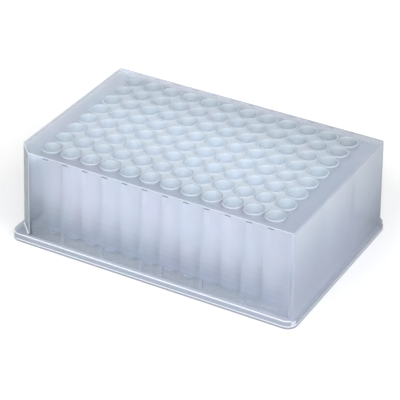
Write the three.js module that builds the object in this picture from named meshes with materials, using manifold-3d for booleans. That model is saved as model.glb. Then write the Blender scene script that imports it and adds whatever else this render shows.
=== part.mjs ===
// A 96-well, round-well, U-bottom deep-well plate, moulded in one piece of natural polypropylene.
// Millimetres, +Z up. The origin is the centre of the base, X runs along the rows of twelve wells
// and the keyed corner is at -X, -Y.
import * as THREE from 'three';
import { mergeGeometries, mergeVertices } from 'three/addons/utils/BufferGeometryUtils.js';
import Module from 'manifold-3d';

// ---- Driving dimensions -------------------------------------------------------------------

// Well grid
const wellPitch = 9;
const wellColumns = 12; // along X
const wellRows = 8; // along Y

// Well tubes
const tubeGap = 0.5; // between neighbouring tubes, just under the deck
const tubeWall = 0.5; // at the mouth
const tubeOuterDraft = 0.1; // how much the tube's radius shrinks from the deck to its round end
const boreDraft = 0.4; // how much the bore's radius shrinks from the mouth to its round end
const tubeFloor = 1.2; // thickness at the bottom of the well
const tubeClearance = 1.5; // from the base plane up to the bottom of a tube
const wellFacets = 8; // sides of a tube
const endSteps = 2; // steps in the quarter circle of a round end

// Deck
const plateHeight = 41.5; // base to the top of the beads round the mouths
const beadHeight = 0.5; // of the bead round each mouth, above the deck
const beadRoot = 0.2; // how deep the bead's slope runs on into the deck
const deckThickness = 1.5;
const lipHeight = 0.3; // of the raised lip round the deck
const lipWidth = 1.3;

// Skirt, measured at the deck
const skirtWall = 1.3;
const endSpace = 6.55; // from the outermost tubes to the skirt's end walls
const sideSpace = 2.85; // from the outermost tubes to the skirt's side walls
const skirtDraft = 1.1; // how far a wall leans out from the lip to the base plane
const skirtCornerRadius = 1.2;
const innerCornerRadius = 0.3; // least radius inside a corner
const keyedCornerChamfer = 6.2; // leg of the cut-off corner that keys the plate
const cornerSegments = 4;

// Base flange: the skirt steps out and runs down as a rim
const flangeHeight = 3.7;
const flangeWall = 1.3;
const endFlange = 1.18; // how far the flange stands out from the end walls at the base plane
const sideFlange = 1.74; // the same, from the side walls
const flangeCornerRadius = 4.2;

// Ribs that stiffen the skirt from inside
const ribThickness = 1;
const ribDepth = 1.2;
const ribFoot = 3.2; // height at which the ribs end
const wellsPerSideRib = 2; // from one rib of a side wall to the next
const wellsPerEndRib = 3; // from one rib of an end wall to the other

// ---- Derived sizes ------------------------------------------------------------------------

const tubeRadius = (wellPitch - tubeGap) / 2;
const boreRadius = tubeRadius - tubeWall;
const deckTop = plateHeight - beadHeight;
const deckUnderside = deckTop - deckThickness;
const lipTop = deckTop + lipHeight;
const skirtLength = (wellColumns - 1) * wellPitch + 2 * (tubeRadius + endSpace + skirtWall);
const skirtWidth = (wellRows - 1) * wellPitch + 2 * (tubeRadius + sideSpace + skirtWall);
const flangeLength = skirtLength + 2 * (skirtDraft + endFlange);
const flangeWidth = skirtWidth + 2 * (skirtDraft + sideFlange);
const cutOvershoot = 1; // how far a cutting solid runs past the face that it opens

// ---- Shapes -------------------------------------------------------------------------------

const wasm = await Module();
wasm.setup();

function toSolid(geometry) {
  const bare = geometry.clone();
  bare.deleteAttribute('normal');
  bare.deleteAttribute('uv');
  const merged = mergeVertices(bare);
  return new wasm.Manifold(new wasm.Mesh({
    numProp: 3,
    vertProperties: merged.attributes.position.array,
    triVerts: new Uint32Array(merged.index.array),
  }));
}

function toGeometry(solid) {
  const { vertProperties, triVerts } = solid.getMesh();
  const geometry = new THREE.BufferGeometry();
  geometry.setAttribute('position', new THREE.BufferAttribute(vertProperties, 3));
  geometry.setIndex(new THREE.BufferAttribute(triVerts, 1));
  geometry.computeVertexNormals();
  return geometry;
}

// A rectangle centred on the origin. Its corner at -X, -Y is cut off where a chamfer is given,
// and the others are round.
function plateOutline(length, width, cornerRadius, chamfer = 0) {
  const points = [];
  const corners = [
    { x: -1, y: -1, start: Math.PI },
    { x: 1, y: -1, start: -Math.PI / 2 },
    { x: 1, y: 1, start: 0 },
    { x: -1, y: 1, start: Math.PI / 2 },
  ];
  for (const corner of corners) {
    if (chamfer > 0 && corner.x < 0 && corner.y < 0) {
      points.push(new THREE.Vector2(-length / 2, -width / 2 + chamfer));
      points.push(new THREE.Vector2(-length / 2 + chamfer, -width / 2));
      continue;
    }
    const centreX = corner.x * (length / 2 - cornerRadius);
    const centreY = corner.y * (width / 2 - cornerRadius);
    for (let i = 0; i <= cornerSegments; i += 1) {
      const angle = corner.start + (i / cornerSegments) * (Math.PI / 2);
      points.push(new THREE.Vector2(
        centreX + cornerRadius * Math.cos(angle),
        centreY + cornerRadius * Math.sin(angle),
      ));
    }
  }
  return points;
}

// How far the skirt's outer face stands out at a height from where it is at the lip.
function skirtLean(height) {
  return skirtDraft * (1 - height / lipTop);
}

// The skirt's plan at a height, moved in from its outer face by an inset.
// A wall that is set in by a distance shortens the chamfer's leg by the inset times 2 - sqrt 2.
function skirtOutline(height, inset) {
  const grown = skirtLean(height) - inset;
  const chamferLeg = keyedCornerChamfer + grown * (2 - Math.SQRT2);
  const radius = Math.max(skirtCornerRadius + grown, innerCornerRadius);
  return plateOutline(skirtLength + 2 * grown, skirtWidth + 2 * grown, radius, chamferLeg);
}

// The flange's plan, moved in from its outer face by an inset.
function flangeOutline(inset) {
  const radius = Math.max(flangeCornerRadius - inset, innerCornerRadius);
  return plateOutline(flangeLength - 2 * inset, flangeWidth - 2 * inset, radius);
}

// A closed solid between two outlines with the same number of points.
function loft(lowOutline, lowZ, highOutline, highZ) {
  const count = lowOutline.length;
  const positions = [];
  for (const point of lowOutline) positions.push(point.x, point.y, lowZ);
  for (const point of highOutline) positions.push(point.x, point.y, highZ);
  const faces = [];
  for (let i = 0; i < count; i += 1) {
    const next = (i + 1) % count;
    faces.push(i, next, count + next, i, count + next, count + i);
  }
  for (const [a, b, c] of THREE.ShapeUtils.triangulateShape(lowOutline, [])) faces.push(a, c, b);
  for (const [a, b, c] of THREE.ShapeUtils.triangulateShape(highOutline, [])) {
    faces.push(count + a, count + b, count + c);
  }
  const geometry = new THREE.BufferGeometry();
  geometry.setAttribute('position', new THREE.Float32BufferAttribute(positions, 3));
  geometry.setIndex(faces);
  return toSolid(geometry);
}

function prism(outline, lowZ, highZ) {
  return loft(outline, lowZ, outline, highZ);
}

// A profile of [radius, height] pairs turned about Z, with flats facing the neighbours.
// The corners stand out so that the faceted section has the area of the round one.
function turned(profile) {
  const facetAngle = (2 * Math.PI) / wellFacets;
  const cornerScale = Math.sqrt(facetAngle / Math.sin(facetAngle));
  const points = profile.map(([radius, height]) => new THREE.Vector2(radius * cornerScale, height));
  return new THREE.LatheGeometry(points, wellFacets, facetAngle / 2).rotateX(Math.PI / 2);
}

// The same solid at every well.
function atEachWell(geometry) {
  const copies = [];
  for (let column = 0; column < wellColumns; column += 1) {
    for (let row = 0; row < wellRows; row += 1) {
      copies.push(geometry.clone().translate(
        (column - (wellColumns - 1) / 2) * wellPitch,
        (row - (wellRows - 1) / 2) * wellPitch,
        0,
      ));
    }
  }
  return toSolid(mergeGeometries(copies));
}

// ---- Pieces of the moulding ---------------------------------------------------------------

// Skirt, deck and flange as one thin-walled box, open below.
function makeShell() {
  const skirt = loft(skirtOutline(0, 0), 0, skirtOutline(lipTop, 0), lipTop);
  const flange = prism(flangeOutline(0), 0, flangeHeight);
  const skirtHollow = loft(
    skirtOutline(-cutOvershoot, skirtWall), -cutOvershoot,
    skirtOutline(deckUnderside, skirtWall), deckUnderside,
  );
  const flangeHollow = prism(flangeOutline(flangeWall), -cutOvershoot, flangeHeight - flangeWall);
  const deckRecess = prism(skirtOutline(lipTop, lipWidth), deckTop, lipTop + cutOvershoot);
  return skirt.add(flange).subtract(skirtHollow).subtract(flangeHollow).subtract(deckRecess);
}

// A rib on the inside of a wall that faces -Y, with its outer half buried in that wall.
function ribGeometry(wallDistance) {
  const rootTop = deckUnderside + deckThickness / 2;
  const outer = wallDistance - skirtWall / 2;
  const inner = wallDistance - skirtWall - ribDepth;
  const profile = new THREE.Shape([
    new THREE.Vector2(inner + skirtLean(ribFoot), ribFoot),
    new THREE.Vector2(outer + skirtLean(ribFoot), ribFoot),
    new THREE.Vector2(outer + skirtLean(rootTop), rootTop),
    new THREE.Vector2(inner + skirtLean(rootTop), rootTop),
  ]);
  const rib = new THREE.ExtrudeGeometry(profile, { depth: ribThickness, bevelEnabled: false });
  return rib.translate(0, 0, -ribThickness / 2).rotateX(Math.PI / 2).rotateZ(-Math.PI / 2);
}

// Ribs in line with wells, on the insides of the four walls and alike on both sides of the middle.
function makeRibs() {
  const ribs = [];
  const sideRib = ribGeometry(skirtWidth / 2);
  for (let x = wellPitch / 2; x < (wellColumns / 2) * wellPitch; x += wellsPerSideRib * wellPitch) {
    for (const place of [-x, x]) {
      ribs.push(sideRib.clone().translate(place, 0, 0));
      ribs.push(sideRib.clone().rotateZ(Math.PI).translate(place, 0, 0));
    }
  }
  const endRib = ribGeometry(skirtLength / 2);
  const endOffset = (wellsPerEndRib * wellPitch) / 2;
  for (const place of [-endOffset, endOffset]) {
    ribs.push(endRib.clone().rotateZ(Math.PI / 2).translate(0, place, 0));
    ribs.push(endRib.clone().rotateZ(-Math.PI / 2).translate(0, place, 0));
  }
  return toSolid(mergeGeometries(ribs));
}

// The round end of a tube or bore, as profile points from the axis out to its full radius.
function roundEnd(radius, bottom) {
  const points = [];
  for (let i = 0; i <= endSteps; i += 1) {
    const angle = (i / endSteps) * (Math.PI / 2);
    points.push([radius * Math.sin(angle), bottom + radius * (1 - Math.cos(angle))]);
  }
  return points;
}

// One well: the tube's outside from its round end up to the deck, the bead round its mouth,
// and the bore back down to the bottom of the well.
function wellGeometry() {
  return turned([
    ...roundEnd(tubeRadius - tubeOuterDraft, tubeClearance),
    [tubeRadius, deckTop - deckThickness / 2],
    [tubeRadius, deckTop - beadRoot],
    [boreRadius, plateHeight],
    ...roundEnd(boreRadius - boreDraft, tubeClearance + tubeFloor).reverse(),
  ]);
}

// The hole in the deck that a well stands in, halfway through the tube's wall.
function wellHoleGeometry() {
  const radius = boreRadius + tubeWall / 2;
  return turned([
    [0, deckUnderside - cutOvershoot],
    [radius, deckUnderside - cutOvershoot],
    [radius, lipTop + cutOvershoot],
    [0, lipTop + cutOvershoot],
  ]);
}

// ---- Model --------------------------------------------------------------------------------

const polypropylene = new THREE.MeshStandardMaterial({
  color: 0xd3dcea,
  roughness: 0.35,
  metalness: 0,
  transparent: true,
  opacity: 0.75,
});

const moulding = makeShell()
  .subtract(atEachWell(wellHoleGeometry()))
  .add(atEachWell(wellGeometry()))
  .add(makeRibs());

const wellPlate = new THREE.Mesh(toGeometry(moulding), polypropylene);
wellPlate.name = 'well_plate';

const model = new THREE.Group();
model.add(wellPlate);

export default model;
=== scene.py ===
import math

import bpy
import numpy as np
from mathutils import Matrix, Vector
from mathutils.geometry import delaunay_2d_cdt


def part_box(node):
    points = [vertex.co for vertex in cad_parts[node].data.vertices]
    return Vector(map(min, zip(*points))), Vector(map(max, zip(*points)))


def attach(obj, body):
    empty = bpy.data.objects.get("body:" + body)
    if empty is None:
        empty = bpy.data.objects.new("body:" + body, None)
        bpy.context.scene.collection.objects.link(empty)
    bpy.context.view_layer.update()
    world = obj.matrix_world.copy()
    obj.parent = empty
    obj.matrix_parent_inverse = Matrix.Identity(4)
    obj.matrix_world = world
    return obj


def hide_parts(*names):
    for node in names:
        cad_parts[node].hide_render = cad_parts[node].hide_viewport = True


# A 96-well deep-well plate of natural polypropylene. One moulding stands for the plain solid and
# adds round wells, rounded edges and a milky, translucent plastic. Lengths are in millimetres
# until a mesh or a node is made, with row A of the wells at +Y and column 1 at -X.

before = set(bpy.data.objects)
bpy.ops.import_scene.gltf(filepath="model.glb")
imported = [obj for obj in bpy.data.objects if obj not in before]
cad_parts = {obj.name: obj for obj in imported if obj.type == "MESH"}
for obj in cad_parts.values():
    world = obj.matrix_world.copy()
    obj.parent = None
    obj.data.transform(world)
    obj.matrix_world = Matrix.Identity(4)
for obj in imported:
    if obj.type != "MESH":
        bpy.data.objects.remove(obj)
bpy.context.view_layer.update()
MM = 0.001

# ---- Sizes --------------------------------------------------------------------------------------

low, high = (np.array(corner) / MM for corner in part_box("well_plate"))
plate_height = high[2] - low[2]
flange_half = (high[:2] - low[:2]) / 2

# Well grid
pitch = 9.0
columns, rows = 12, 8
well_x = (np.arange(columns) - (columns - 1) / 2) * pitch
well_y = (np.arange(rows) - (rows - 1) / 2) * pitch
block_half = np.array([columns, rows]) * pitch / 2

# Tubes and their bores, each with a round end
tube_radius = 4.25
tube_end_radius = 4.15
tube_root = 0.2  # radius where a tube meets the deck
tube_bottom = 1.5
bore_radius = 3.75
bore_end_radius = 3.35
bore_bottom = 2.7

# Deck, with a bead round each mouth and a lip round its border
bead_height = 0.5
bead_outer_radius = 4.2
bead_root = 0.12
deck_thickness = 1.5
deck_fillet = 0.5  # inside, where the skirt meets the deck
lip_height = 0.3
lip_width = 1.3
lip_root, lip_crest, lip_round = 0.15, 0.12, 0.3  # radii from the deck over to the outer face
deck_top = plate_height - bead_height
deck_underside = deck_top - deck_thickness
lip_top = deck_top + lip_height

# Base flange: a painted highlight line runs round its rim, and the base below that has painted shade
flange_height = 3.7
flange_wall = 1.3
flange_reach = np.array([1.18, 1.74])  # past the end walls and past the long walls
flange_corner = 4.2
flange_round = 0.3
highlight_top, highlight_bottom, shade_top = 1.4, 0.95, 0.6
base_round = 0.15
step_round = 0.2  # inside, where the flange steps in to the skirt

# Skirt
skirt_wall = 1.3
skirt_draft = 1.1  # how far a wall leans out from the lip to the base plane
skirt_half = np.round(flange_half - flange_reach - skirt_draft, 2)  # at the lip
skirt_corner = 1.2
least_corner = 0.3  # radius inside a corner
skirt_foot = 0.4  # radius where the skirt meets the flange
chamfer_leg = 6.2
chamfer_round = 0.9  # radius of the chamfer's two upright edges
wall_levels = (32.0, 24.0)  # rings down the outer faces
clearer_levels = (20.0, 17.0, 14.5, 12.0, 9.5)  # and those where the long walls get clearer

# Ribs inside the skirt, and small nicks under the lip, one for each column of wells
rib_half, rib_tip = 0.5, 0.42  # half thicknesses at the wall and where the tip starts to round
rib_depth = 1.2
rib_shoulder, rib_end = 0.92, 0.8  # the share of the depth at that place, and of rib_tip at the end
rib_foot = 3.2
rib_foot_rise = 0.3
rib_root = 0.25  # radius where a rib meets the wall
rib_x = pitch * np.array([-4.5, -2.5, -0.5, 0.5, 2.5, 4.5])
rib_y = pitch * np.array([-1.5, 1.5])
low_inside_level = 12.0
inside_levels = (22.0, 32.0)  # the inner faces change their finish at the first
nick_span, nick_depth = (1.0, 3.6), 0.15  # along the wall from a well's middle, and inward
nick_top, nick_bottom = 40.75, 40.4
nick_slope = 0.1  # at a nick's two ends and below it, and half as much above it

# Fineness
well_sides = 32
corner_steps = 6
round_steps = 6  # in the quarter circle of a well's round end
bend = 0.3  # where the middle of a quarter round lies, as a share of its radius
merge_digits = 4  # points that are the same to this many decimals become one
margin_tolerance = 1e-6
sharp_angle = 50

# ---- Finishes -----------------------------------------------------------------------------------

# Each finish is the same plastic, as one part of the plate shows it, with the light and shade there
# painted into its colour. z gives its colour by height, and x, y and slant make it paler or darker
# along X, along Y and along a slanting direction, as painted light and shade. Each lists places in
# millimetres, from low to high, with the colour or grey there, and slant has its direction in front
# of the list.
# Painted shade: the long walls are coloured darker towards the bottom, where the shaded inside of the
# plate shows through them.
wall_shade_colours = [
    (4.5, (0.26, 0.305, 0.38)),
    (9.0, (0.365, 0.42, 0.51)),
    (20.0, (0.655, 0.71, 0.80)),
    (30.0, (0.80, 0.85, 0.94)),
    (40.9, (0.80, 0.85, 0.93)),
]
long_wall_alpha = 0.6
long_wall = dict(
    rough=0.45,
    clear=0.35,
    # Painted shade: darker towards both ends of the long walls.
    x=[
        (-60, (0.71, 0.75, 0.79)),
        (-50, (0.74, 0.78, 0.82)),
        (-42, 0.90),
        (-33, 0.97),
        (-20, 1.0),
        (38, 1.0),
        (46, 0.93),
        (60, 0.87),
    ],
    # Painted light: paler low down towards +X, and high up at the -X end.
    slant=(
        (0.5, 0, -0.866),
        [
            (-63, 1.9),
            (-60.5, 1.5),
            (-59, 1.15),
            (-57, 1.0),
            (3, 1.0),
            (9, 1.07),
            (15, 1.27),
            (22, 1.55),
            (27, 1.75),
        ],
    ),
)
clearer_alphas = (0.57, 0.54, 0.51, 0.48, 0.44)
behind_colour = (0.67, 0.705, 0.765)  # of what shows through the lower part of the long walls

# Painted light and shade over the block of wells, which gets paler or darker as one: mouths, bores
# and the deck between them
block_shade_x = [(-50, 0.925), (-30, 0.965), (0, 0.985), (25, 1.0), (50, 0.965)]
block_shade_y = [(-32, 0.94), (-10, 1.0), (5, 1.0), (32, 0.87)]
block_shade_slant = ((0.7, 0.7, 0), [(10, 1.0), (40, 0.93), (58, 0.88)])

deck_colour = [(0, (0.82, 0.89, 1.0))]


def clearer(levels, alpha):
    """The colours that keep a long wall as bright as at long_wall_alpha when its alpha is lower."""
    share = long_wall_alpha / alpha
    return [
        (z, tuple(share * front - (share - 1) * back for front, back in zip(colour, behind_colour)))
        for z, colour in levels
    ]


finishes = {
    "deck": dict(
        z=deck_colour,
        alpha=0.68,
        rough=0.45,
        clear=0.40,
        # Painted light and shade: paler on the -X margin, darker beside the block and towards the front
        # and back edges.
        x=[(-60, 1.0), (-54, 0.98), (-46, 0.72), (0, 0.76), (30, 0.80), (45, 0.77), (60, 0.74)],
        y=[(-38, 0.93), (-20, 1.0), (22, 1.0), (32, 0.93), (38, 0.84)],
    ),
    "long_walls": dict(z=wall_shade_colours, alpha=long_wall_alpha, **long_wall),
    "end_walls": dict(
        # Painted shade: darker low down and towards the back, most at the back's foot.
        z=[
            (4.5, (0.58, 0.64, 0.745)),
            (10, (0.54, 0.595, 0.695)),
            (18, (0.585, 0.64, 0.745)),
            (40.9, (0.85, 0.885, 0.90)),
        ],
        alpha=0.65,
        rough=0.45,
        clear=0.4,
        y=[(-38, 0.97), (-10, 0.98), (24, 0.80), (38, 0.67)],
        slant=((0, 0.5, -0.866), [(-3, 1.0), (3, 0.92), (12, 0.78)]),
    ),
    "flange": dict(
        z=[(0, (0.60, 0.65, 0.76))],
        alpha=0.55,
        rough=0.45,
        clear=0.45,
        # Painted shade: darker towards the back.
        y=[(10, 1.0), (30, 0.85), (40, 0.55)],
    ),
    "long_inner_faces": dict(
        # Painted shade: darker low down on the inner faces.
        z=[(20, (0.62, 0.68, 0.79)), (36, (0.72, 0.78, 0.90))],
        alpha=0.5,
        rough=0.45,
    ),
    "end_inner_faces": dict(
        # Painted shade: darker low down, and half as bright at the -X end.
        z=[(5, (0.56, 0.62, 0.73)), (30, (0.78, 0.84, 0.96))],
        alpha=0.7,
        rough=0.45,
        x=[(-60, 0.5), (60, 1.0)],
    ),
    "bores": dict(
        # Painted light and shade: pale deep in each bore, darker near the mouth, with the block's
        # painted shade.
        z=[(3, (1.0, 1.0, 1.0)), (24, (0.97, 0.98, 0.98)), (35, (0.745, 0.825, 0.905))],
        alpha=1.0,
        rough=0.35,
        sheen=0.3,
        x=block_shade_x,
        y=block_shade_y,
        slant=block_shade_slant,
        cloud=0.4,
    ),
    "tubes": dict(
        # Painted light and shade: a pale round end, a darker band above it, paler again higher up, and
        # darker towards the -X end.
        z=[
            (1.5, (0.95, 0.99, 1.0)),
            (3, (0.95, 0.99, 1.0)),
            (5, (0.85, 0.90, 1.0)),
            (7.5, (0.63, 0.67, 0.76)),
            (13, (0.64, 0.68, 0.77)),
            (22, (0.84, 0.885, 0.955)),
        ],
        alpha=1.0,
        rough=0.35,
        sheen=1.0,
        x=[(-50, 0.8), (-40, 0.95), (-31, 1.0)],
    ),
    # Painted highlights: near-white lines and glints on edges that catch the light.
    "painted_highlights": dict(z=[(0, (0.89, 0.92, 0.97))], alpha=0.9, rough=0.2),
    "beads": dict(
        z=[(0, (0.80, 0.88, 0.97))],
        alpha=0.8,
        rough=0.25,
        x=block_shade_x,
        # Painted shade: darker in the front and back rows.
        y=[(-32, 0.71), (-23, 0.78), (-12, 0.93), (5, 0.97), (18, 0.91), (32, 0.81)],
    ),
    "bead_sides": dict(
        z=[(0, (0.78, 0.86, 0.95))],
        alpha=0.8,
        rough=0.25,
        x=block_shade_x,
        # Painted shade: darker towards the back, with the block's painted light and shade.
        y=[(-32, 0.94), (-23, 0.95), (-10, 0.90), (5, 0.89), (32, 0.78)],
        slant=block_shade_slant,
        cloud=0.4,
    ),
    "webs": dict(
        # Painted light: paler than the rest of the deck, like the wells, with the block's painted light
        # and shade.
        z=[(0, (0.69, 0.785, 0.88))],
        alpha=0.85,
        rough=0.35,
        x=block_shade_x,
        y=block_shade_y,
        slant=block_shade_slant,
        cloud=0.4,
    ),
    "shaded_edges": dict(z=[(0, (0.38, 0.42, 0.48))], alpha=0.7, rough=0.45, gloss=0.1),
    # Painted highlight: a pale line at the edge between the chamfer and the front wall.
    "chamfer_edge_highlight": dict(
        z=[(4, (0.70, 0.76, 0.88)), (18, (0.86, 0.92, 1.0))],
        alpha=0.65,
        rough=0.45,
        clear=0.2,
    ),
    # Painted highlight: the pale line down the front-right corner.
    "corner_highlight_line": dict(
        z=[(4, (0.50, 0.55, 0.64)), (20, (0.60, 0.65, 0.75)), (34, (0.62, 0.67, 0.76))],
        alpha=0.65,
        rough=0.45,
        clear=0.35,
    ),
    # Painted shade: the dark line beside the pale corner line.
    "corner_shade_line": dict(
        z=[(4, (0.40, 0.45, 0.54)), (24, (0.60, 0.66, 0.78)), (34, (0.76, 0.83, 0.95))],
        alpha=0.5,
        rough=0.45,
        clear=0.4,
    ),
    # Painted shade: the nicks are coloured dark, as the shade in them.
    "nicks": dict(z=[(0, (0.24, 0.26, 0.30))], alpha=0.8, rough=0.5, gloss=0.1),
    "ribs": dict(
        # Painted light: the ribs are pale lines, palest low down.
        z=[(4, (0.80, 0.88, 0.98)), (14, (0.75, 0.82, 0.93)), (24, (0.62, 0.68, 0.79))],
        alpha=0.5,
        rough=0.45,
    ),
    "low_inner_faces": dict(
        # Painted shade: a dark colour for the shaded bottom of the inside.
        z=[(0, (0.44, 0.50, 0.63)), (22, (0.66, 0.72, 0.83))],
        alpha=0.2,
        rough=0.45,
    ),
    # Painted shade: the deck behind the wells is darker, most towards +X.
    "shaded_back_of_deck": dict(
        z=deck_colour,
        alpha=0.6,
        rough=0.45,
        clear=0.40,
        x=[(-60, 0.84), (-40, 0.82), (0, 0.72), (60, 0.54)],
    ),
    # Painted shade: a dark line along the far lip, darkest towards the back right corner.
    "shaded_far_lip": dict(
        z=deck_colour,
        alpha=0.7,
        rough=0.45,
        clear=0.40,
        slant=((0.7, 0.7, 0), [(-15, 0.80), (10, 0.80), (30, 0.66), (50, 0.50), (72, 0.42)]),
    ),
}
# The clearer bands keep the long walls' painted shade at a lower alpha.
for step, alpha in enumerate(clearer_alphas):
    low_shade_colours = clearer(wall_shade_colours[:3], alpha)
    finishes[f"long_walls_clearer_{step}"] = dict(z=low_shade_colours, alpha=alpha, **long_wall)

# ---- Outlines of the shell ----------------------------------------------------------------------


def rib_profile(depth):
    """The outline of a rib, as (along, inward) pairs about its middle."""
    half = [
        (rib_half + rib_root, 0.0),
        (rib_half + rib_root * bend, depth * rib_root * bend / rib_depth),
        (rib_half, depth * rib_root / rib_depth),
        (rib_tip, depth * rib_shoulder),
        (rib_tip * rib_end, depth),
    ]
    return [(-along, into) for along, into in half] + half[::-1]


def plan(half, corner, leg=None, depth=0.0, nick=0.0):
    """The plate's outline at one level, anticlockwise from above, always with the same points:
    four sides with their ribs and nicks, three round corners, and the keyed corner, which is cut
    off by leg if given. Also says, for each point, which side starts there and what is on it."""
    points, parts = [], []

    def side(name, centre, direction, inward, places, ribs, nicked):
        plain = (name, "")
        for place in places:
            stations = []
            if np.isclose(ribs, place).any():
                stations += [(along, into, (name, "rib")) for along, into in rib_profile(depth)]
                stations[-1] = (*stations[-1][:2], plain)
            if nicked:
                start, end = nick_span
                stations += [(start, 0.0, plain), (start + nick_slope, nick, (name, "nick"))]
                stations += [(end - nick_slope, nick, plain), (end, 0.0, plain)]
            for along, into, part in stations:
                points.append(centre + direction * (place + along) + inward * into)
                parts.append(part)

    def arc(name, centre, radius, start, end, steps):
        for angle in np.radians(np.linspace(start, end, steps + 1)):
            points.append(centre + radius * np.array([math.cos(angle), math.sin(angle)]))
            parts.append((name, ""))

    x, y = half
    ux, uy = np.array([1.0, 0.0]), np.array([0.0, 1.0])
    side("front", -y * uy, ux, uy, well_x, rib_x, True)
    arc("front_right", np.array([x - corner, -y + corner]), corner, -90, 0, corner_steps)
    # A dark line of painted shade and a pale line of painted highlight run down this corner, and both
    # walls reach round to them.
    third = corner_steps // 3
    lines = [("front", "dark")] * third + [("right", "pale")] * third + [("right", "")] * third
    parts[-corner_steps - 1:] = [("front", "")] + lines
    side("right", x * ux, uy, -ux, rib_y, rib_y, False)
    arc("back_right", np.array([x - corner, y - corner]), corner, 0, 90, corner_steps)
    parts[-1] = ("back", "")
    side("back", y * uy, -ux, -uy, well_x, rib_x, True)
    arc("back_left", np.array([-x + corner, y - corner]), corner, 90, 180, corner_steps)
    parts[-1] = ("left", "")
    side("left", -x * ux, -uy, ux, rib_y, rib_y, False)
    half_steps = corner_steps // 2
    if leg is None:
        arc("keyed", np.array([-x + corner, -y + corner]), corner, 180, 270, 2 * half_steps + 1)
    else:
        inset = chamfer_round * math.tan(math.pi / 8)
        centre = np.array([-x + chamfer_round, -y + leg + inset])
        arc("keyed_left", centre, chamfer_round, 180, 225, half_steps)
        parts[-1] = ("keyed", "")
        centre = np.array([-x + leg + inset, -y + chamfer_round])
        arc("keyed_front", centre, chamfer_round, 225, 270, half_steps)
    parts[-1] = ("front", "")
    return np.array(points), parts


def skirt_ring(z, inset=0.0, depth=0.0, nick=0.0):
    """The skirt's outline at a height, moved in from its outer face, as 3-D points."""
    grown = skirt_draft * (1 - z / lip_top) - inset
    leg = chamfer_leg + grown * (2 - math.sqrt(2))
    flat, _ = plan(skirt_half + grown, max(skirt_corner + grown, least_corner), leg, depth, nick)
    return np.column_stack([flat, np.full(len(flat), z)])


def flange_ring(z, inset=0.0):
    """The flange's outline at a height, moved in from its outer face, as 3-D points."""
    flat, _ = plan(flange_half - inset, flange_corner - inset)
    return np.column_stack([flat, np.full(len(flat), z)])


def shell_rings():
    """Rings from the deck's edge over the lip, down the outside, round the flange's rim, and up
    the inside to the underside of the deck, each with the name of the band that starts at it."""
    bands = []

    def band(name, *rings):
        bands.extend((name, ring) for ring in rings)

    root_middle, crest_middle = bend * lip_root, bend * lip_crest
    band("root", skirt_ring(deck_top, lip_width + lip_root))
    band("root", skirt_ring(deck_top + root_middle, lip_width + root_middle))
    band("lip_inner", skirt_ring(deck_top + lip_root, lip_width))
    band("lip_crest", skirt_ring(lip_top - lip_crest, lip_width))
    band("lip_crest", skirt_ring(lip_top - crest_middle, lip_width - crest_middle))
    band("lip_top", skirt_ring(lip_top, lip_width - lip_crest))
    for name, angle in (("lip_bend", 0.0), ("lip_edge", math.pi / 6), ("lip_side", math.pi / 3)):
        z = lip_top - lip_round * (1 - math.cos(angle))
        band(name, skirt_ring(z, lip_round * (1 - math.sin(angle))))

    band("wall", skirt_ring(lip_top - lip_round), skirt_ring(nick_top + nick_slope / 2))
    band("nick", *(skirt_ring(z, nick=nick_depth) for z in (nick_top, nick_bottom)))
    band("wall", *(skirt_ring(z) for z in (nick_bottom - nick_slope, *wall_levels)))
    for step, z in enumerate(clearer_levels):
        band(f"clearer_{step}", skirt_ring(z))
    for angle in np.radians([0, 30, 60]):
        z = flange_height + skirt_foot * (1 - math.sin(angle))
        band("foot", skirt_ring(z, -skirt_foot * (1 - math.cos(angle))))

    band("flange_top", skirt_ring(flange_height, -skirt_foot))
    for angle in np.radians([0, 30, 60]):
        z = flange_height - flange_round * (1 - math.cos(angle))
        band("flange_edge", flange_ring(z, flange_round * (1 - math.sin(angle))))
    band("flange_face", flange_ring(flange_height - flange_round))
    band("flange_line", flange_ring(highlight_top))
    band("base_edge", flange_ring(highlight_bottom))
    band("base", flange_ring(shade_top))
    for angle in np.radians([0, 45, 90]):
        z = base_round * (1 - math.sin(angle))
        band("base", flange_ring(z, base_round * (1 - math.cos(angle))))
    for angle in np.radians([0, 45, 90]):
        z = base_round * (1 - math.cos(angle))
        band("base", flange_ring(z, flange_wall - base_round * (1 - math.sin(angle))))

    step = flange_height - flange_wall
    band("inside_low", flange_ring(step - step_round, flange_wall))
    band("inside_low", flange_ring(step, flange_wall + step_round))
    band("inside_low", skirt_ring(step, skirt_wall - step_round))
    band("inside_low", skirt_ring(step + step_round, skirt_wall))
    band("rib_foot", skirt_ring(rib_foot, skirt_wall))
    for z in (rib_foot + rib_foot_rise, low_inside_level):
        band("inside_low", skirt_ring(z, skirt_wall, rib_depth))
    for z in inside_levels:
        band("inside", skirt_ring(z, skirt_wall, rib_depth))
    for angle in np.radians([0, 30, 60, 90]):
        z = deck_underside - deck_fillet * (1 - math.sin(angle))
        band("inside", skirt_ring(z, skirt_wall + deck_fillet * (1 - math.cos(angle)), rib_depth))
    return bands


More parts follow.
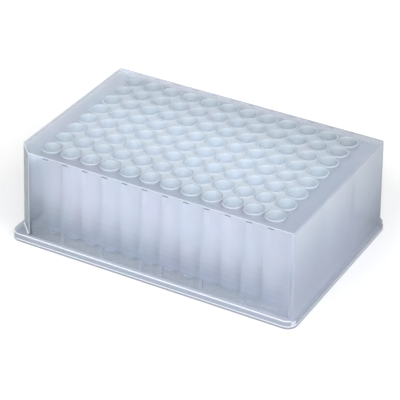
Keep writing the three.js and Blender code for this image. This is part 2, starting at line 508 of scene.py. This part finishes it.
def shell_finish(band, side, feature):
    """The finish of a face of the shell: edges that catch the light get painted highlights, and some
    edges and corners painted shade.
    """
    keyed = side.startswith("keyed")
    end = side in ("left", "right", "back_right", "keyed_left")
    wall = "end_walls" if end else "long_walls"
    deck = "shaded_back_of_deck" if side == "back" else "deck"
    if band == "root":
        return deck
    if band in ("lip_inner", "lip_crest"):
        return "painted_highlights" if keyed else "shaded_edges" if side in ("left", "right") else deck
    if band == "lip_top":
        return "shaded_far_lip" if side == "back" else deck
    if band == "lip_bend":
        return "shaded_far_lip" if side in ("right", "back") else deck
    if band == "lip_edge":
        return "painted_highlights" if keyed or side == "front" else "shaded_far_lip" if side == "right" else deck
    if band == "lip_side":
        return "painted_highlights" if keyed else "long_walls" if side == "front" else deck
    if band == "nick":
        return "nicks" if feature == "nick" else wall
    if band == "wall" or band.startswith("clearer"):
        if side == "keyed_front":
            return "chamfer_edge_highlight"
        if keyed or side == "back_right":
            return "shaded_edges"
        if feature in ("pale", "dark"):
            return "corner_highlight_line" if feature == "pale" else "corner_shade_line"
        return wall if end or band == "wall" else f"long_walls_{band}"
    if band == "foot":
        return "painted_highlights" if side == "keyed" else wall
    if band == "flange_edge":
        return "flange" if side in ("left", "right") else "painted_highlights"
    if band == "flange_face":
        # Painted highlight: the flange face at the pale corner gets the bead sides' paler finish, as a
        # glint.
        return "bead_sides" if feature == "pale" else "flange"
    if band == "flange_line":
        return "painted_highlights"
    if band == "base":
        return "shaded_edges"
    if band in ("inside", "inside_low", "rib_foot"):
        if feature == "rib":
            # Painted highlight: a pale speck at each rib's foot.
            return "painted_highlights" if band == "rib_foot" else "ribs"
        if end or keyed:
            return "end_inner_faces"
        return "long_inner_faces" if band == "inside" else "low_inner_faces"
    return "flange"


# ---- Outlines of the wells ----------------------------------------------------------------------


def cell_square(z):
    """The border of one well's square of deck, with a point in line with each point of a ring."""
    points = []
    for k in range(well_sides):
        angle = 2 * math.pi * k / well_sides
        reach = pitch / 2 / max(abs(math.cos(angle)), abs(math.sin(angle)))
        points.append((reach * math.cos(angle), reach * math.sin(angle), z))
    return np.array(points)


def block_loop(z):
    """The border of the block of wells, anticlockwise, with every point of its cells' borders."""
    square = cell_square(0.0)[:, :2]
    eighth = well_sides // 8

    def run(first, last):
        return [square[k % well_sides] for k in range(first * eighth, last * eighth)]

    points = []
    for x in well_x:
        points += [point + (x, well_y[0]) for point in run(5, 7)]
    for y in well_y:
        points += [point + (well_x[-1], y) for point in run(7, 9)]
    for x in well_x[::-1]:
        points += [point + (x, well_y[-1]) for point in run(1, 3)]
    for y in well_y[::-1]:
        points += [point + (well_x[0], y) for point in run(3, 5)]
    return np.column_stack([points, np.full(len(points), z)])


def circle(radius, z):
    """A level ring of points about a well's axis."""
    angles = 2 * math.pi * np.arange(well_sides) / well_sides
    return np.column_stack([radius * np.cos(angles), radius * np.sin(angles), np.full(well_sides, z)])


def round_end(finish, radius, bottom):
    """The quarter circle of a well's round end, without the point at its bottom."""
    angles = np.radians(np.linspace(0, 90, round_steps + 1)[:-1])
    centre_z = bottom + radius
    return [(finish, radius * math.cos(angle), centre_z - radius * math.sin(angle)) for angle in angles]


def mouth_profile():
    """From the deck over the bead and down the bore to its round bottom, as (finish, radius,
    height): the finish is that of the faces that end at the point."""
    crown = (bead_outer_radius - bore_radius) / 2
    crown_z = plate_height - crown
    points = [
        ("webs", bead_outer_radius + bead_root, deck_top),
        ("bead_sides", bead_outer_radius + bend * bead_root, deck_top + bend * bead_root),
        ("bead_sides", bead_outer_radius, deck_top + bead_root),
    ]
    for angle in np.radians([0, 45, 90, 135, 180]):
        radius = bore_radius + crown * (1 + math.cos(angle))
        finish = "beads" if angle > 0 else "bead_sides"
        points.append((finish, radius, crown_z + crown * math.sin(angle)))
    points.append(("bores", bore_radius, deck_underside))
    return points + round_end("bores", bore_end_radius, bore_bottom)


def tube_profile():
    """From the deck's underside down the tube to its round end, as mouth_profile does."""
    points = [
        ("long_inner_faces", tube_radius + tube_root, deck_underside),
        ("tubes", tube_radius + bend * tube_root, deck_underside - bend * tube_root),
        ("tubes", tube_radius, deck_underside - tube_root),
    ]
    return points + round_end("tubes", tube_end_radius, tube_bottom)


def web_finishes(x, y):
    """The deck between wells gets the painted light that makes them pale; round the outside of the
    block it doesn't.
    """
    names = []
    for k in range(well_sides):
        angle = 2 * math.pi * (k + 0.5) / well_sides
        reach_x = abs(x + pitch / 2 * math.cos(angle))
        reach_y = abs(y + pitch / 2 * math.sin(angle))
        names.append("webs" if reach_x < well_x[-1] and reach_y < well_y[-1] else "deck")
    return names


# ---- The moulding -------------------------------------------------------------------------------


class Builder:
    """Collects points in millimetres and faces with their finishes, and joins points that meet."""

    def __init__(self):
        self.points = []
        self.faces = []
        self.finishes = []

    def add(self, ring):
        """The numbers that a ring's points get."""
        start = len(self.points)
        self.points.extend(map(tuple, ring))
        return list(range(start, len(self.points)))

    def bridge(self, a, b, finish, flip=False):
        """Faces between two rings, with one finish or a list of them."""
        count = len(a)
        for i in range(count):
            j = (i + 1) % count
            self.faces.append((a[i], b[i], b[j], a[j]) if flip else (a[i], a[j], b[j], b[i]))
            self.finishes.append(finish[i] if isinstance(finish, list) else finish)

    def close(self, ring, tip, finish, flip=False):
        """Faces from a ring to one point."""
        count = len(ring)
        for i in range(count):
            j = (i + 1) % count
            self.faces.append((ring[j], ring[i], tip) if flip else (ring[i], ring[j], tip))
            self.finishes.append(finish)

    def fill_margin(self, outer, inner, up):
        """Flat faces between a ring of the outline and the border of the block of wells."""
        ids = outer + inner
        flat = [Vector(self.points[i][:2]) for i in ids]
        loops = [list(range(len(outer))), list(range(len(outer), len(ids)))]
        edges = [(loop[i - 1], loop[i]) for loop in loops for i in range(len(loop))]
        filled = delaunay_2d_cdt(flat, edges, [], 1, margin_tolerance)  # 1: inside the loops
        points, _, faces, origin, _, _ = filled
        for face in faces:
            centre = sum((points[v] for v in face), Vector((0, 0))) / len(face)
            if abs(centre.x) < block_half[0] and abs(centre.y) < block_half[1]:
                continue
            corners = [ids[origin[v][0]] for v in face]
            a, b, c = (Vector(self.points[i][:2]) for i in corners)
            anticlockwise = (b - a).cross(c - a) > 0
            self.faces.append(tuple(corners if anticlockwise == up else reversed(corners)))
            above = "shaded_back_of_deck" if centre.y > block_half[1] else "deck"
            self.finishes.append(above if up else "long_inner_faces")

    def add_well(self, place, top, profile, bottom, flip=False):
        """Rings from a well's square of deck along a profile, closed at the bottom."""
        ring = self.add(cell_square(top) + place)
        for finish, radius, z in profile:
            inner = self.add(circle(radius, z) + place)
            self.bridge(ring, inner, web_finishes(*place[:2]) if finish == "webs" else finish, flip)
            ring = inner
        self.close(ring, self.add([place + (0, 0, bottom)])[0], profile[-1][0], flip)

    def mesh(self, name):
        """A Blender mesh of all that was added, in metres."""
        points = np.array(self.points)
        keys = np.round(points, merge_digits)
        _, first, index = np.unique(keys, axis=0, return_index=True, return_inverse=True)
        index = index.reshape(-1)
        slots = {finish: k for k, finish in enumerate(finishes)}
        faces, face_slots = [], []
        for face, finish in zip(self.faces, self.finishes):
            merged = [int(index[i]) for i in face]
            merged = [v for k, v in enumerate(merged) if v != merged[k - 1]]
            if len(merged) > 2:
                faces.append(merged)
                face_slots.append(slots[finish])
        mesh = bpy.data.meshes.new(name)
        mesh.from_pydata((points[first] * MM).tolist(), [], faces)
        mesh.update()
        mesh.polygons.foreach_set("material_index", face_slots)
        return mesh


def link(obj):
    """Puts an object in the scene."""
    bpy.context.scene.collection.objects.link(obj)
    return obj


def make_plate():
    """The whole plate as one closed mesh, with a material for each finish."""
    builder = Builder()
    _, parts = plan(skirt_half, skirt_corner, chamfer_leg)
    bands = shell_rings()
    rings = [builder.add(ring) for _, ring in bands]
    for (band, _), a, b in zip(bands, rings, rings[1:]):
        builder.bridge(a, b, [shell_finish(band, *part) for part in parts], flip=True)
    builder.fill_margin(rings[0], builder.add(block_loop(deck_top)), up=True)
    builder.fill_margin(rings[-1], builder.add(block_loop(deck_underside)), up=False)
    for x in well_x:
        for y in well_y:
            place = np.array([x, y, 0.0])
            builder.add_well(place, deck_top, mouth_profile(), bore_bottom)
            builder.add_well(place, deck_underside, tube_profile(), tube_bottom, flip=True)
    plate = link(bpy.data.objects.new("well_plate_moulding", builder.mesh("well_plate_moulding")))
    for polygon in plate.data.polygons:
        polygon.use_smooth = True
    plate.data.set_sharp_from_angle(angle=math.radians(sharp_angle))
    for name, finish in finishes.items():
        plate.data.materials.append(polypropylene(name, **finish))
    return plate


# ---- Material -----------------------------------------------------------------------------------

plastic_ior = 1.49
sheen_roughness = 0.3
roughness_spread = 0.08  # either way
cloud_noise, patch_noise, grain_noise = (50.0, 2.0), (300.0, 4.0), (900.0, 3.0)  # scale, detail
cloud_range = (0.35, 0.65)  # the noise from pink to green
pink_loss, green_loss = (0.05, 0.015, 0.01), (0.0, 0.025, 0.0)  # what they take from the colour
grain_strength, grain_height = 0.15, 0.1
ramp_margin = 0.001  # gives a ramp with one level a length


def add_node(tree, kind, inputs, **settings):
    """A node with its settings, and each input set to a value or linked from a socket."""
    node = tree.nodes.new(kind)
    for name, value in settings.items():
        setattr(node, name, value)
    for socket, value in inputs.items():
        if isinstance(value, bpy.types.NodeSocket):
            tree.links.new(value, node.inputs[socket])
        else:
            node.inputs[socket].default_value = value
    return node


def add_ramp(tree, factor, stops):
    """A factor turned into a colour, with stops as (position, colour) pairs."""
    node = add_node(tree, "ShaderNodeValToRGB", {"Fac": factor})
    elements = node.color_ramp.elements
    elements.remove(elements[1])
    for k, (position, colour) in enumerate(stops):
        element = elements.new(position) if k else elements[0]
        element.position = position
        element.color = (*colour, 1)
    return node.outputs["Color"]


def along_ramp(tree, place, direction, levels):
    """Colours or greys at places in millimetres along a direction."""
    start, end = levels[0][0], levels[-1][0] + ramp_margin
    along = add_node(tree, "ShaderNodeVectorMath", {0: place, 1: direction}, operation="DOT_PRODUCT")
    ends = {"From Min": start * MM, "From Max": end * MM}
    span = add_node(tree, "ShaderNodeMapRange", {"Value": along.outputs["Value"], **ends})
    stops = [
        ((where - start) / (end - start), colour if isinstance(colour, tuple) else (colour,) * 3)
        for where, colour in levels
    ]
    return add_ramp(tree, span.outputs["Result"], stops)


def multiply(tree, a, b):
    """One colour times another."""
    inputs = {"Factor": 1.0, 6: a, 7: b}  # 6, 7 and output 2 are the node's colour sockets
    node = add_node(tree, "ShaderNodeMix", inputs, data_type="RGBA", blend_type="MULTIPLY")
    return node.outputs[2]


def add_noise(tree, place, scale, detail):
    """Noise with a number of cells along a metre."""
    inputs = {"Vector": place, "Scale": scale, "Detail": detail}
    return add_node(tree, "ShaderNodeTexNoise", inputs).outputs["Fac"]


def polypropylene(
    name, z, alpha, rough, clear=0.0, gloss=0.5, sheen=0.0, x=None, y=None, slant=None, cloud=1.0
):
    """Milky polypropylene: its colour by height, then made paler or darker along x, along y and
    along a slanting direction, where those are given, as painted light and shade, with faint
    clouds of pink and green. The roughness varies a little from place to place, and the surface
    has a fine grain."""
    material = bpy.data.materials.new(name)
    material.use_nodes = True
    tree = material.node_tree
    shader = tree.nodes["Principled BSDF"]
    shader.inputs["IOR"].default_value = plastic_ior
    shader.inputs["Alpha"].default_value = alpha
    shader.inputs["Transmission Weight"].default_value = clear
    shader.inputs["Specular IOR Level"].default_value = gloss
    shader.inputs["Sheen Weight"].default_value = sheen
    shader.inputs["Sheen Roughness"].default_value = sheen_roughness
    place = tree.nodes.new("ShaderNodeTexCoord").outputs["Object"]

    colour = along_ramp(tree, place, (0, 0, 1), z)
    for direction, levels in (((1, 0, 0), x), ((0, 1, 0), y), slant or (None, None)):
        if levels:
            colour = multiply(tree, colour, along_ramp(tree, place, direction, levels))
    pink, green = (tuple(1 - cloud * part for part in loss) for loss in (pink_loss, green_loss))
    stops = list(zip(cloud_range, (pink, green)))
    clouds = add_ramp(tree, add_noise(tree, place, *cloud_noise), stops)
    tree.links.new(multiply(tree, colour, clouds), shader.inputs["Base Color"])

    patches = add_noise(tree, place, *patch_noise)
    spread = {"To Min": rough - roughness_spread, "To Max": rough + roughness_spread}
    dullness = add_node(tree, "ShaderNodeMapRange", {"Value": patches, **spread})
    tree.links.new(dullness.outputs["Result"], shader.inputs["Roughness"])

    grain = add_noise(tree, place, *grain_noise)
    size = {"Strength": grain_strength, "Distance": grain_height * MM}
    bump = add_node(tree, "ShaderNodeBump", {"Height": grain, **size})
    tree.links.new(bump.outputs["Normal"], shader.inputs["Normal"])
    return material


# ---- Stage, light and camera --------------------------------------------------------------------

# Lengths here are in metres and angles in degrees.
floor_half = 3.0
floor_albedo = 0.95
floor_glow = 0.1
world_light = 0.5
lamp_spread = 25
lamps = (  # name, azimuth, elevation and energy
    ("key", 30, 40, 1.15),
    ("left_fill", -12, 40, 0.68),
    ("right_fill", 72, 40, 0.68),
)
camera_azimuth, camera_elevation, camera_roll = 28.84, 31.74, 0.82
camera_distance = 0.7294
camera_lens, sensor_width = 163.34, 36.0  # millimetres
camera_near = 0.01
aim_height, aim_drop = 0.02, 0.0038  # upwards in the room, and downwards in the picture


def seen_share(tree):
    """1 for what is seen, straight, mirrored or through the plastic, and 0 for what gives light."""
    path = tree.nodes.new("ShaderNodeLightPath")
    seen = path.outputs["Is Camera Ray"]
    for ray in ("Is Glossy Ray", "Is Transmission Ray"):
        larger = add_node(tree, "ShaderNodeMath", {0: seen, 1: path.outputs[ray]}, operation="MAXIMUM")
        seen = larger.outputs[0]
    return seen


def make_floor():
    """A matt white floor, lifted a little towards white where it is seen."""
    half = floor_half
    corners = [(-half, -half, 0), (half, -half, 0), (half, half, 0), (-half, half, 0)]
    mesh = bpy.data.meshes.new("floor")
    mesh.from_pydata(corners, [], [(0, 1, 2, 3)])
    floor = link(bpy.data.objects.new("floor", mesh))
    material = bpy.data.materials.new("floor")
    material.use_nodes = True
    tree = material.node_tree
    shader = tree.nodes["Principled BSDF"]
    shader.inputs["Base Color"].default_value = (floor_albedo, floor_albedo, floor_albedo, 1)
    shader.inputs["Roughness"].default_value = 1.0
    shader.inputs["Specular IOR Level"].default_value = 0.0
    inputs = {0: seen_share(tree), 1: floor_glow}
    strength = add_node(tree, "ShaderNodeMath", inputs, operation="MULTIPLY")
    glow = add_node(tree, "ShaderNodeEmission", {"Strength": strength.outputs[0]})
    both = add_node(tree, "ShaderNodeAddShader", {0: shader.outputs[0], 1: glow.outputs[0]})
    tree.links.new(both.outputs[0], tree.nodes["Material Output"].inputs["Surface"])
    mesh.materials.append(material)


def make_world():
    """A plain white room that gives half of the light that it shows."""
    world = bpy.data.worlds.new("studio")
    bpy.context.scene.world = world
    world.use_nodes = True
    tree = world.node_tree
    background = tree.nodes["Background"]
    background.inputs["Color"].default_value = (1, 1, 1, 1)
    ends = {"To Min": world_light, "To Max": 1.0}
    strength = add_node(tree, "ShaderNodeMapRange", {"Value": seen_share(tree), **ends})
    tree.links.new(strength.outputs[0], background.inputs["Strength"])


def towards(azimuth, elevation):
    """The direction to a place in the room, with azimuth 0 in front of the plate's long side."""
    a, e = math.radians(azimuth), math.radians(elevation)
    return Vector((math.sin(a) * math.cos(e), -math.cos(a) * math.cos(e), math.sin(e)))


def make_sun(name, azimuth, elevation, energy):
    """A soft lamp that shines on the plate from a direction."""
    data = bpy.data.lights.new(name, "SUN")
    data.angle = math.radians(lamp_spread)
    data.energy = energy
    lamp = link(bpy.data.objects.new(name, data))
    way = towards(azimuth, elevation)
    lamp.location = way + Vector((0, 0, aim_height))
    lamp.rotation_euler = way.to_track_quat("Z", "Y").to_euler()


def make_camera():
    """A long lens that looks down at the plate, a little tilted."""
    data = bpy.data.cameras.new("camera")
    data.lens = camera_lens
    data.sensor_width = sensor_width
    data.clip_start = camera_near
    camera = link(bpy.data.objects.new("camera", data))
    back = towards(camera_azimuth, camera_elevation)
    right = towards(camera_azimuth + 90, 0)
    up = back.cross(right)
    turned = Matrix((right, up, back)).transposed() @ Matrix.Rotation(math.radians(camera_roll), 3, "Z")
    place = Vector((0, 0, aim_height)) - up * aim_drop + back * camera_distance
    camera.matrix_world = Matrix.Translation(place) @ turned.to_4x4()
    bpy.context.scene.camera = camera


plate = make_plate()
make_floor()
make_world()
for lamp in lamps:
    make_sun(*lamp)
make_camera()

scene = bpy.context.scene
scene.view_settings.view_transform = "Standard"
scene.cycles.max_bounces = 16
scene.cycles.diffuse_bounces = 12  # light has to reach the bottoms of the deep wells
scene.cycles.transmission_bounces = 16

# ---- Frame --------------------------------------------------------------------------------------

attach(plate, "root")
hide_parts("well_plate")
